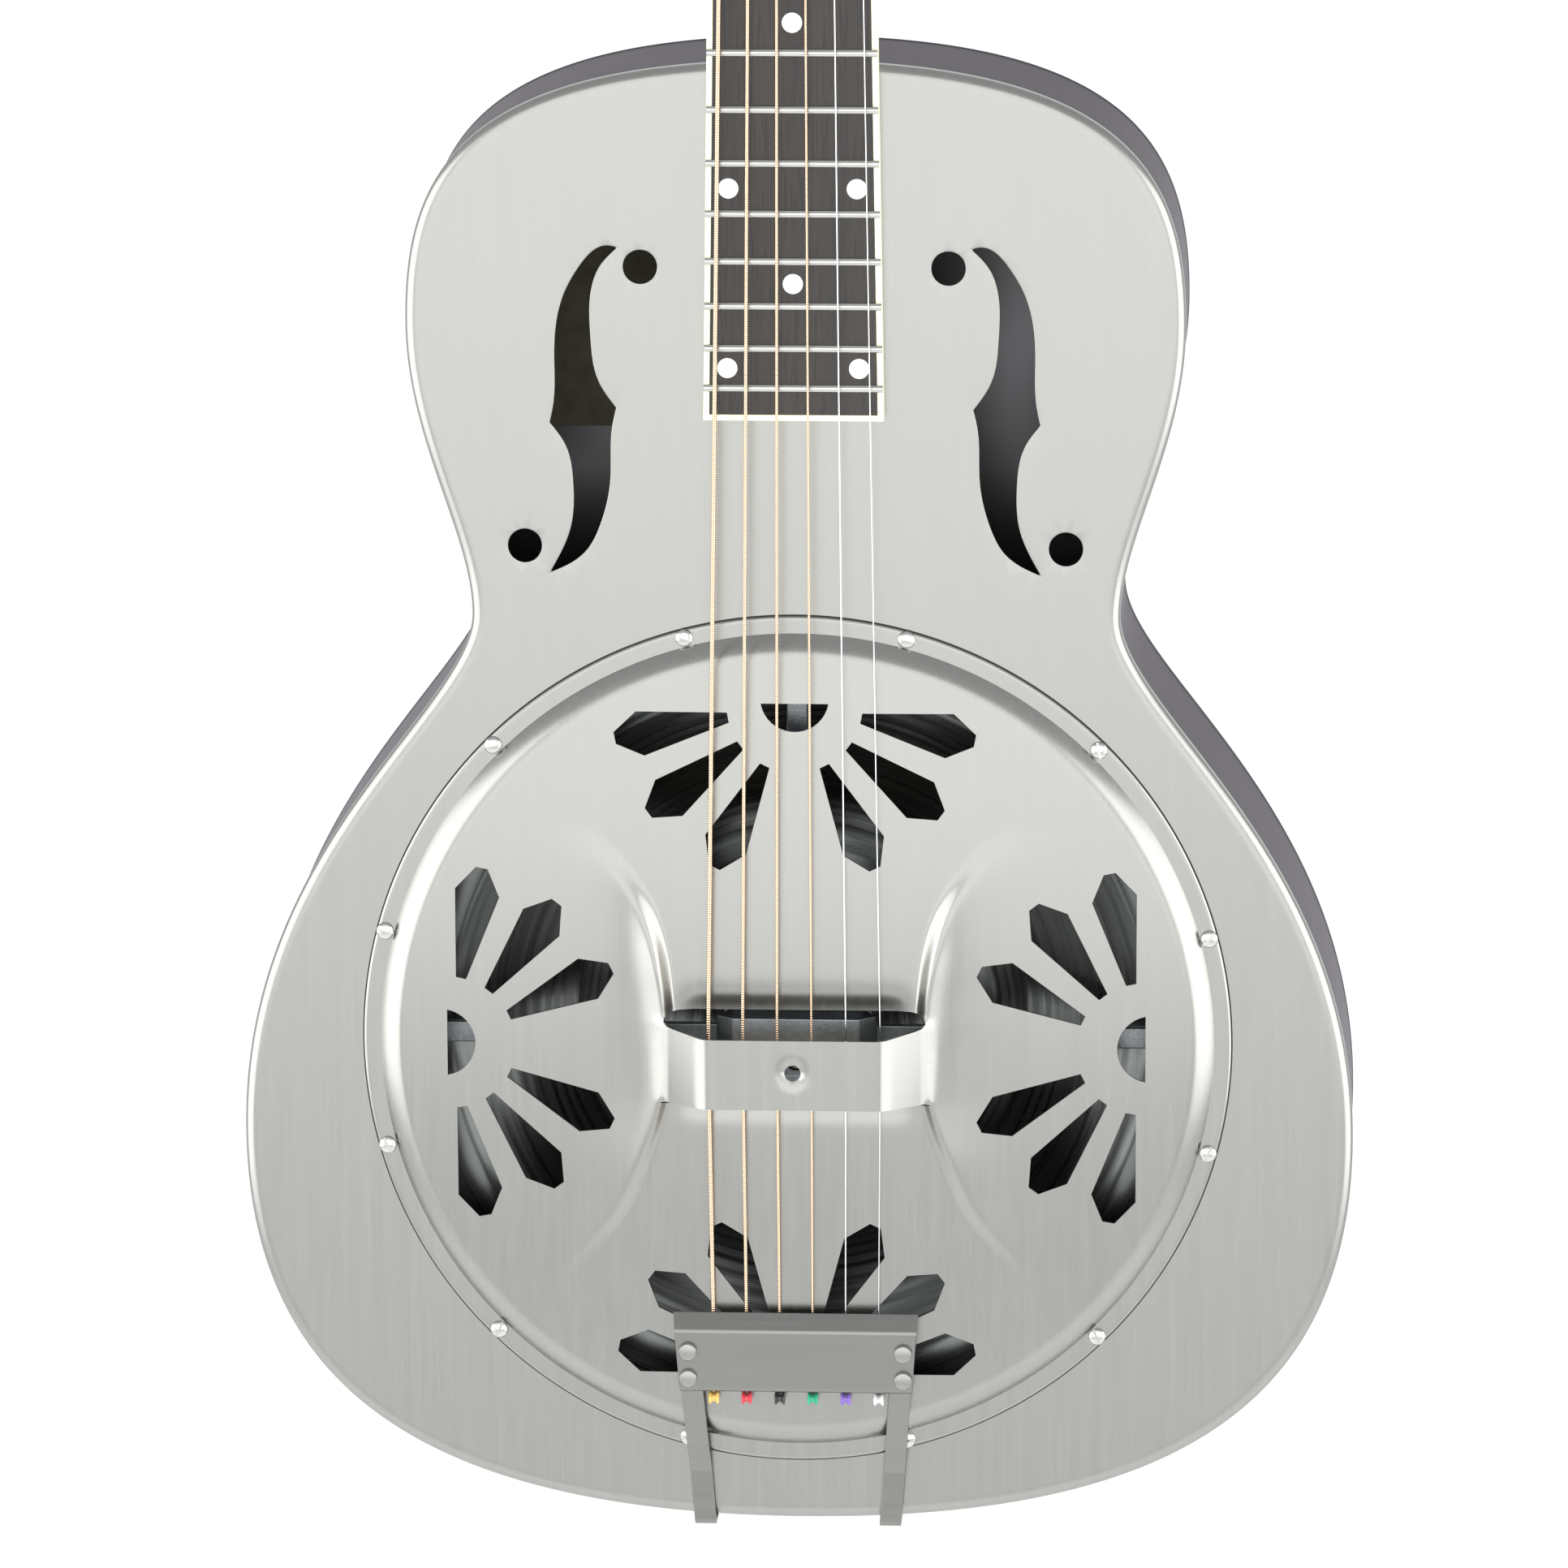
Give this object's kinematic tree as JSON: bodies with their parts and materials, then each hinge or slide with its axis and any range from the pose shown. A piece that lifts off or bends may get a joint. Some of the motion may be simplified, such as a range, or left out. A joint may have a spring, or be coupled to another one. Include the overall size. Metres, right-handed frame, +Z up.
{
  "type": "resonator guitar",
  "caption": "Metal-bodied resonator guitar with a pressed cover plate over a spun cone, curved sound holes, a bound fingerboard and open-geared tuners.",
  "frame": {"origin": "on the centre line where a wall hanger holds the neck, just above the nut, on the glue plane of the fingerboard", "axes": "+Z up the neck towards the headstock, -Y out of the front of the body, +X towards the high strings"},
  "size_m": [0.3538, 0.107, 0.9777],
  "materials": {
    "nickel": "satin nickel plate with fine brushing",
    "side_nickel": "satin nickel plate",
    "spun_aluminium": "spun, fine rings",
    "cast_aluminium": "cast, satin",
    "steel": "bright",
    "neck_wood": "satin",
    "spruce": "bare",
    "fingerboard_wood": "oiled rosewood",
    "maple": "bare",
    "binding": "ivoroid",
    "pearl": "pearloid",
    "bone": "polished",
    "black_plastic": "gloss",
    "felt": "felt",
    "gear_brass": "machined",
    "bronze_wound": "wound",
    "plain_steel": "drawn wire",
    "cream_button": "gloss"
  },
  "bodies": {
    "guitar": {"body_top": "nickel", "body_sides": "side_nickel", "body_back": "side_nickel", "sound_well": "side_nickel", "cone": "spun_aluminium", "spider": "cast_aluminium", "saddles": "maple", "coverplate": "nickel", "coverplate_screws": "steel", "tailpiece_plate": "nickel", "tailpiece_bracket": "nickel", "tailpiece_rivets": "nickel", "tailpiece_pad": "felt", "end_pin": "steel", "neck": "neck_wood", "neck_stick": "spruce", "truss_rod": "steel", "fingerboard": "fingerboard_wood", "fingerboard_binding": "binding", "frets": "steel", "position_dots": "pearl", "nut": "bone", "headstock_overlay": "black_plastic", "truss_rod_cover": "black_plastic", "truss_cover_screws": "steel", "tuner_bushings": "steel", "tuner_plates": "steel", "tuner_plate_screws": "steel", "string_low_e": "bronze_wound", "string_a": "bronze_wound", "string_d": "bronze_wound", "string_g": "bronze_wound", "string_b": "plain_steel", "string_high_e": "plain_steel"},
    "tension_screw": {"tension_screw": "steel"},
    "truss_rod_nut": {"truss_rod_nut": "steel"},
    "post_low_e": {"string_post_low_e": "steel", "tuner_gear_low_e": "gear_brass"},
    "key_low_e": {"worm_shaft_low_e": "steel", "tuner_button_low_e": "cream_button"},
    "post_a": {"string_post_a": "steel", "tuner_gear_a": "gear_brass"},
    "key_a": {"worm_shaft_a": "steel", "tuner_button_a": "cream_button"},
    "post_d": {"string_post_d": "steel", "tuner_gear_d": "gear_brass"},
    "key_d": {"worm_shaft_d": "steel", "tuner_button_d": "cream_button"},
    "post_g": {"string_post_g": "steel", "tuner_gear_g": "gear_brass"},
    "key_g": {"worm_shaft_g": "steel", "tuner_button_g": "cream_button"},
    "post_b": {"string_post_b": "steel", "tuner_gear_b": "gear_brass"},
    "key_b": {"worm_shaft_b": "steel", "tuner_button_b": "cream_button"},
    "post_high_e": {"string_post_high_e": "steel", "tuner_gear_high_e": "gear_brass"},
    "key_high_e": {"worm_shaft_high_e": "steel", "tuner_button_high_e": "cream_button"}
  },
  "joints": [
    {"name": "tension_screw_turn", "type": "hinge", "parent": "guitar", "child": "tension_screw", "pos_m": [0, 0, -0.6515], "axis": [0, -1, 0], "range_deg": [-180, 180]},
    {"name": "truss_nut_turn", "type": "hinge", "parent": "guitar", "child": "truss_rod_nut", "pos_m": [0, 0.008, 0.002], "axis": [0, 0, 1], "range_deg": [-180, 180]},
    {"name": "post_turn_low_e", "type": "hinge", "parent": "guitar", "child": "post_low_e", "pos_m": [-0.025, 0.01113, 0.03763], "axis": [0, 0.9703, -0.2419], "continuous": true},
    {"name": "key_turn_low_e", "type": "hinge", "parent": "guitar", "child": "key_low_e", "pos_m": [-0.025, 0.02904, 0.02432], "axis": [1, 0, 0], "continuous": true},
    {"name": "post_turn_a", "type": "hinge", "parent": "guitar", "child": "post_a", "pos_m": [-0.025, 0.02081, 0.07644], "axis": [0, 0.9703, -0.2419], "continuous": true},
    {"name": "key_turn_a", "type": "hinge", "parent": "guitar", "child": "key_a", "pos_m": [-0.025, 0.03872, 0.06314], "axis": [1, 0, 0], "continuous": true},
    {"name": "post_turn_d", "type": "hinge", "parent": "guitar", "child": "post_d", "pos_m": [-0.025, 0.03048, 0.11526], "axis": [0, 0.9703, -0.2419], "continuous": true},
    {"name": "key_turn_d", "type": "hinge", "parent": "guitar", "child": "key_d", "pos_m": [-0.025, 0.0484, 0.10195], "axis": [1, 0, 0], "continuous": true},
    {"name": "post_turn_g", "type": "hinge", "parent": "guitar", "child": "post_g", "pos_m": [0.025, 0.03048, 0.11526], "axis": [0, 0.9703, -0.2419], "continuous": true},
    {"name": "key_turn_g", "type": "hinge", "parent": "guitar", "child": "key_g", "pos_m": [0.025, 0.0484, 0.10195], "axis": [1, 0, 0], "continuous": true},
    {"name": "post_turn_b", "type": "hinge", "parent": "guitar", "child": "post_b", "pos_m": [0.025, 0.02081, 0.07644], "axis": [0, 0.9703, -0.2419], "continuous": true},
    {"name": "key_turn_b", "type": "hinge", "parent": "guitar", "child": "key_b", "pos_m": [0.025, 0.03872, 0.06314], "axis": [1, 0, 0], "continuous": true},
    {"name": "post_turn_high_e", "type": "hinge", "parent": "guitar", "child": "post_high_e", "pos_m": [0.025, 0.01113, 0.03763], "axis": [0, 0.9703, -0.2419], "continuous": true},
    {"name": "key_turn_high_e", "type": "hinge", "parent": "guitar", "child": "key_high_e", "pos_m": [0.025, 0.02904, 0.02432], "axis": [1, 0, 0], "continuous": true}
  ],
  "couplings": [
    {"joint": "post_turn_low_e", "follows": "key_turn_low_e", "ratio": 0.071429},
    {"joint": "post_turn_a", "follows": "key_turn_a", "ratio": 0.071429},
    {"joint": "post_turn_d", "follows": "key_turn_d", "ratio": 0.071429},
    {"joint": "post_turn_g", "follows": "key_turn_g", "ratio": 0.071429},
    {"joint": "post_turn_b", "follows": "key_turn_b", "ratio": 0.071429},
    {"joint": "post_turn_high_e", "follows": "key_turn_high_e", "ratio": 0.071429}
  ]
}
